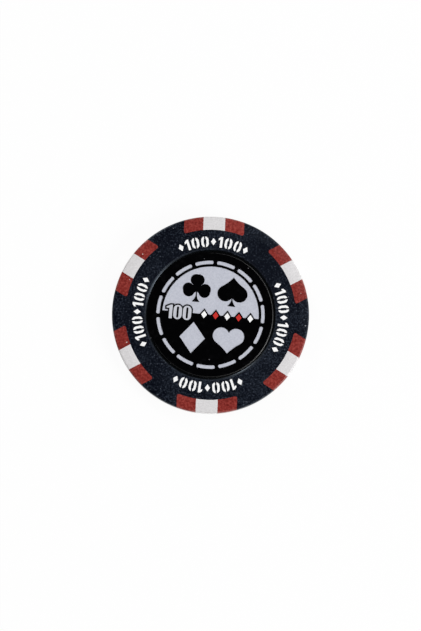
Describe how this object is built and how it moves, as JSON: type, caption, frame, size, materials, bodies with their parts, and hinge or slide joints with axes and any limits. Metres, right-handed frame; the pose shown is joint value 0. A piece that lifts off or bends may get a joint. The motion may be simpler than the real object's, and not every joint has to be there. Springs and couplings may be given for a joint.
{
  "type": "poker chip",
  "caption": "Round composite poker chip: black moulded disc over a steel weight, red and white edge spots let into the rim, and a recessed printed foil label on each face.",
  "frame": {"origin": "middle of the lower ring face, on the chip's axis", "axes": "+Z along the chip's axis, up through the front face; +Y towards the middle of edge spot 1; +X to the right of it when the front face is looked at"},
  "size_m": [0.04, 0.04, 0.0033],
  "materials": {
    "moulded_black": "fine matt moulded grain",
    "moulded_red": "fine matt moulded grain",
    "moulded_white": "fine matt moulded grain",
    "steel": "rolled",
    "foil_film": "satin metallised film",
    "black_print": "gloss ink"
  },
  "bodies": {
    "root": {"body": "moulded_black", "steel_weight": "steel", "white_insert_1": "moulded_white", "white_insert_2": "moulded_white", "white_insert_3": "moulded_white", "white_insert_4": "moulded_white", "white_insert_5": "moulded_white", "white_insert_6": "moulded_white", "red_insert_1_left": "moulded_red", "red_insert_2_left": "moulded_red", "red_insert_3_left": "moulded_red", "red_insert_4_left": "moulded_red", "red_insert_5_left": "moulded_red", "red_insert_6_left": "moulded_red", "red_insert_1_right": "moulded_red", "red_insert_2_right": "moulded_red", "red_insert_3_right": "moulded_red", "red_insert_4_right": "moulded_red", "red_insert_5_right": "moulded_red", "red_insert_6_right": "moulded_red", "front_label_film": "foil_film", "front_label_print": "black_print", "back_label_film": "foil_film", "back_label_print": "black_print"}
  },
  "joints": []
}
